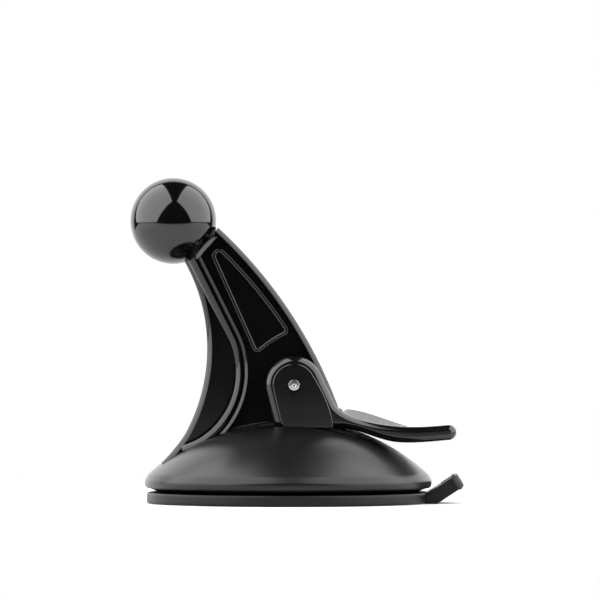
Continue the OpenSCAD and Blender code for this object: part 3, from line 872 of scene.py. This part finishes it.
def cam_line():
    """The cam lobe's working face: an involute, on which the dome rises evenly with the turn."""
    steps = 16
    line = []
    for i in range(steps + 1):
        turn = math.radians(LEVER_TRAVEL * i / steps)
        height = CAM_H - CAM_RATE * turn
        line.append(pivot_point(CAM_RATE * math.cos(turn) - height * math.sin(turn),
                                -CAM_RATE * math.sin(turn) - height * math.cos(turn)))
    return line


def make_lever():
    """The cam lever: ears, bosses, handle and thumb ramp, cut clear of the arm, pin and dome."""
    lever = plate("lever", lever_line(), EAR_OUT, rolled_edge(EDGE_W))
    boss = plate("boss", boss_line(), EAR_OUT + BOSS_H, round_edge(BOSS_EDGE, 4))
    combine(lever, [boss, make_ramp()], "UNION")

    back_foot = angle_of(BACK_FOOT, BACK_C)
    under_foot, over_foot = 8, 14
    middle = arc(BACK_C, BACK_R + LEVER_GAP, back_foot - under_foot, back_foot + over_foot, 40)
    middle += [pivot_point(-THROUGH, THROUGH), pivot_point(-THROUGH, -THROUGH)]
    cam = cam_line()
    below = cam + [polar(cam[-1], 180 - LEVER_TRAVEL, 2 * EAR_R), pivot_point(-THROUGH, 5),
                   pivot_point(-THROUGH, -THROUGH), pivot_point(LOBE_BACK, -THROUGH),
                   pivot_point(LOBE_BACK, -CAM_H)]
    pin_r, pin_reach = PIN_R + PIN_FIT, 15
    pin = [(0, -pin_reach), (pin_r, -pin_reach), (pin_r, pin_reach), (0, pin_reach)]
    recess_r, recess_z, recess_end = PIN_R + RECESS_ROOM, EAR_OUT - RECESS_DEPTH, 12
    recess = [(0, recess_z), (recess_r, recess_z), (recess_r + 0.05, recess_end), (0, recess_end)]
    cutters = [
        plate("middle_cutter", middle, EAR_IN),
        plate("cam_cutter", below[::-1], LOBE_OUT),
        lathe("pin_cutter", pin, 64, pin_frame(-1)),
        lathe("recess_cutter", recess, 64, pin_frame(-1)),
        lathe("recess_cutter", recess, 64, pin_frame(1)),
        dome_cutter(LEVER_GAP, 120),
    ]
    # The ears stand in the dome's pockets, so the dome's sphere is not cut from them
    ear_room = rectangle(-8, 7.7, -12, 8)
    kept = plate("ear_keeper", [pivot_point(x, z) for x, z in ear_room], 12)
    combine(cutters[-1], [kept], "DIFFERENCE")
    combine(lever, cutters, "DIFFERENCE")
    dress(smooth(lever), "lever", "lever", LEVER_ABS)


def make_pin():
    """The pivot pin: chamfered ends with a shallow dimple."""
    # (radius, drop from the end), from the dimple's middle out to the shank
    end = [(0, 0.3), (0.3, 0.27), (0.5, 0.12), (0.6, 0),
           (PIN_R - 0.22, 0), (PIN_R - 0.06, 0.08), (PIN_R, 0.25)]
    half = [(r, PIN_END - drop) for r, drop in end]
    profile = half + [(r, -z) for r, z in reversed(half)]
    piece = lathe("pivot_pin", profile, 96, pin_frame(-1))
    dress(smooth(piece), "pivot_pin", "cup", STEEL)


def make_tab():
    """The pull tab, tilted up from the disc's edge, and the root that joins it to the disc."""
    tab_line = rounded_rectangle(TAB_START, TAB_L - TAB_R, TAB_W / 2, TAB_R, 6)
    flat = plate("tab", tab_line, TAB_T / 2, round_edge(TAB_EDGE, 4))
    corners = rectangle(TAB_SLOT_IN, TAB_SLOT_IN + TAB_SLOT_L, -TAB_SLOT_W / 2, TAB_SLOT_W / 2)
    slot_cut = 4
    slot = plate("slot", [Vector(corner) for corner in corners], slot_cut)
    ends = [(Vector((TAB_RIDGE_X, y)), TAB_RIDGE_R) for y in (-TAB_RIDGE_W / 2, TAB_RIDGE_W / 2)]
    ridge = plate("ridge", belt(ends, [0, 0], 6), TAB_T / 2 + TAB_RIDGE_H, round_edge(TAB_RIDGE_H, 3))
    lie_flat = Matrix.Rotation(-math.pi / 2, 4, "X")
    bend = Matrix.Translation(((DISC_R + TAB_BEND) * MM, 0, 0))
    tilt = Matrix.Rotation(-math.radians(TAB_ANGLE), 4, "Y")
    rise = Matrix.Translation((0, 0, TAB_T / 2 * MM))
    for piece in (flat, slot, ridge):
        piece.data.transform(bend @ tilt @ rise @ lie_flat)
    tab = combine(flat, [ridge], "UNION")
    floor_cutter = box("floor_cutter", (0, -THROUGH, -THROUGH), (3 * THROUGH, THROUGH, 0))
    combine(tab, [slot, floor_cutter], "DIFFERENCE")

    root_line = rounded_rectangle(-2 * TAB_T, TAB_BEND - TAB_ROOT_R, TAB_W / 2 - TAB_ROOT_IN, TAB_ROOT_R, 4)
    root = plate("tab_root", root_line, DISC_T / 2 - TAB_ROOT_IN, round_edge(TAB_ROOT_EDGE, 3))
    root.data.transform(Matrix.Translation((DISC_R * MM, 0, (DISC_T / 2 - FIT) * MM)) @ lie_flat)
    return root, tab


def make_disc():
    """The suction disc and its pull tab, one soft moulding."""
    dish_r = DISC_R - SEALING_W
    core_r = CORE_R + 0.03
    # Over the core plate, out along the top, round the edge, and in to the sealing ring
    profile = [(0, DISC_T), (core_r, DISC_T), (core_r, DISC_T + 1.0), (CORE_R + 1.5, DISC_T + 1.08),
               (CORE_R + 2, DISC_T), (DISC_R - 0.5, DISC_T), (DISC_R - 0.2, DISC_T - 0.1),
               (DISC_R, DISC_T - 0.4), (DISC_R, 0.5), (DISC_R - 0.12, 0.18), (DISC_R - 0.4, 0),
               (dish_r, 0)]
    steps = 24
    ring_h, ring_w = 0.08, 0.7
    for i in range(1, steps + 1):
        r = dish_r * (1 - i / steps)
        ring_mark = ring_h * math.exp(-((r - CORE_R) / ring_w) ** 2)
        profile.append((r, DISH_DEPTH * (1 - (r / dish_r) ** 2) + ring_mark))
    disc = lathe("suction_disc", profile, 224)
    combine(disc, make_tab(), "UNION")
    dress(smooth(disc), "suction_disc", "cup", CUP_PVC)


def coil_tree():
    """Geometry Nodes: a round wire along a spiral, for the return spring."""
    tree = bpy.data.node_groups.new("coil_spring", "GeometryNodeTree")
    sizes = {"Turns": 4.0, "Radius": 5.85 * MM, "Height": 6.3 * MM, "Wire radius": 0.45 * MM,
             "Base height": 4.5 * MM}
    for name in sizes:
        tree.interface.new_socket(name, in_out="INPUT", socket_type="NodeSocketFloat")
    tree.interface.new_socket("Finish", in_out="INPUT", socket_type="NodeSocketMaterial")
    tree.interface.new_socket("Geometry", in_out="OUTPUT", socket_type="NodeSocketGeometry")
    given = add(tree, "NodeGroupInput")
    coil = add(tree, "GeometryNodeCurveSpiral", inputs={"Resolution": 64},
               links={"Rotations": (given, "Turns"), "Start Radius": (given, "Radius"),
                      "End Radius": (given, "Radius"), "Height": (given, "Height")})
    wire = add(tree, "GeometryNodeCurvePrimitiveCircle", inputs={"Resolution": 16},
               links={"Radius": (given, "Wire radius")})
    tube = add(tree, "GeometryNodeCurveToMesh", inputs={"Fill Caps": True},
               links={"Curve": (coil, "Curve"), "Profile Curve": (wire, "Curve")})
    lift = add(tree, "ShaderNodeCombineXYZ", links={"Z": (given, "Base height")})
    raised = add(tree, "GeometryNodeTransform",
                 links={"Geometry": (tube, "Mesh"), "Translation": (lift, "Vector")})
    shaded = add(tree, "GeometryNodeSetShadeSmooth", links={"Geometry": (raised, "Geometry")})
    real = add(tree, "GeometryNodeRealizeInstances", links={"Geometry": (shaded, "Geometry")})
    coated = add(tree, "GeometryNodeSetMaterial",
                 links={"Geometry": (real, "Geometry"), "Material": (given, "Finish")})
    add(tree, "NodeGroupOutput", links={"Geometry": (coated, "Geometry")})
    return tree, sizes


def make_spring():
    """The return spring round the stem."""
    tree, sizes = coil_tree()
    piece = bpy.data.objects.new("return_spring", bpy.data.meshes.new("return_spring"))
    bpy.context.scene.collection.objects.link(piece)
    change = piece.modifiers.new("coil", "NODES")
    change.node_group = tree
    sockets = {item.name: item.identifier for item in tree.interface.items_tree if item.in_out == "INPUT"}
    for name, value in sizes.items():
        change[sockets[name]] = value
    change[sockets["Finish"]] = STEEL
    bake(piece)
    dress(piece, "return_spring", "cup", STEEL)


make_ball()
make_arm()
make_dome()
make_lever()
make_pin()
make_disc()
make_spring()

for node, finish in (("stem", ACETAL), ("arm_screws", STEEL)):
    node_piece = frame["nodes"][node]
    node_piece.data.materials.clear()
    node_piece.data.materials.append(finish)


# Studio

def make_floor():
    """A pale paper floor, a hair under the suction face."""
    half, front, back = 1500, -400, 160
    corners = [Vector((x, y, -FIT)) for x, y in rectangle(-half, half, front, back)]
    floor = piece_from("floor", corners, [(0, 1, 2, 3)])
    fibre_mm = 2
    finish, tree, shader = new_finish("pale_paper")
    tint(tree, shader, noise(tree, fibre_mm, detail=2), "#d8d8d8", "#dedede")
    shader.inputs["Roughness"].default_value = 0.9
    floor.data.materials.append(finish)


def soft_box(name, target, turn, rise, distance, width, height, radiance):
    """A large soft light that faces a point, turned round it from the camera's side and raised. Its
    place is in metres, and its width and height are shares of its distance."""
    turn, rise = math.radians(turn), math.radians(rise)
    away = Vector((math.sin(turn) * math.cos(rise), -math.cos(turn) * math.cos(rise), math.sin(rise)))
    light = bpy.data.lights.new(name, "AREA")
    light.shape = "RECTANGLE"
    light.size, light.size_y = width * distance, height * distance
    light.energy = radiance * math.pi * light.size * light.size_y
    lamp = bpy.data.objects.new(name, light)
    lamp.location = target + away * distance
    lamp.rotation_euler = away.to_track_quat("Z", "Y").to_euler()
    bpy.context.scene.collection.objects.link(lamp)


def make_studio():
    """A room that is bright behind the mount and dark elsewhere, with a soft box on each side. The
    camera itself sees plain white."""
    world = bpy.data.worlds.new("studio")
    bpy.context.scene.world = world
    world.use_nodes = True
    tree = world.node_tree
    tree.nodes.clear()
    place = add(tree, "ShaderNodeTexCoord")
    split = add(tree, "ShaderNodeSeparateXYZ", links={"Vector": (place, "Generated")})
    depth = add(tree, "ShaderNodeMapRange",
                inputs={"From Min": 0.58, "From Max": 0.66, "To Min": 0.02, "To Max": 2.0},
                links={"Value": (split, "Y")})
    seen = add(tree, "ShaderNodeLightPath")
    room = add(tree, "ShaderNodeBackground", links={"Strength": (depth, "Result")})
    paper = add(tree, "ShaderNodeBackground", inputs={"Strength": 1.0})
    both = add(tree, "ShaderNodeMixShader",
               links={0: (seen, "Is Camera Ray"), 1: (room, "Background"), 2: (paper, "Background")})
    for back in (room, paper):
        back.inputs["Color"].default_value = (1, 1, 1, 1)
    add(tree, "ShaderNodeOutputWorld", links={"Surface": (both, "Shader")})
    middle = Vector((0, 0, 0.03))
    soft_box("left_box", middle, turn=-79, rise=38.5, distance=0.55,
             width=1.74, height=1.64, radiance=4.0)
    soft_box("right_box", middle, turn=81.5, rise=37.5, distance=0.55,
             width=1.66, height=1.56, radiance=3.6)


def make_camera():
    """A long lens from a little above the mount, framed like the photograph."""
    pixels = 600
    pixels_per_mm = 5.13
    axis_px, face_px = 288.2, 503
    elevation = math.radians(0.8)
    distance = 2600
    aim = Vector(((pixels / 2 - axis_px) / pixels_per_mm, 0,
                  (face_px - pixels / 2) / pixels_per_mm / math.cos(elevation)))
    lens = bpy.data.cameras.new("camera")
    lens.sensor_fit = "HORIZONTAL"
    lens.sensor_width = 36
    lens.lens = lens.sensor_width * distance / (pixels / pixels_per_mm)
    lens.clip_end = 10
    camera = bpy.data.objects.new("camera", lens)
    camera.location = (aim + distance * Vector((0, -math.cos(elevation), math.sin(elevation)))) * MM
    camera.rotation_euler = (math.pi / 2 - elevation, 0, 0)
    bpy.context.scene.collection.objects.link(camera)
    bpy.context.scene.camera = camera


make_floor()
make_studio()
make_camera()
bpy.context.scene.view_settings.view_transform = "Standard"
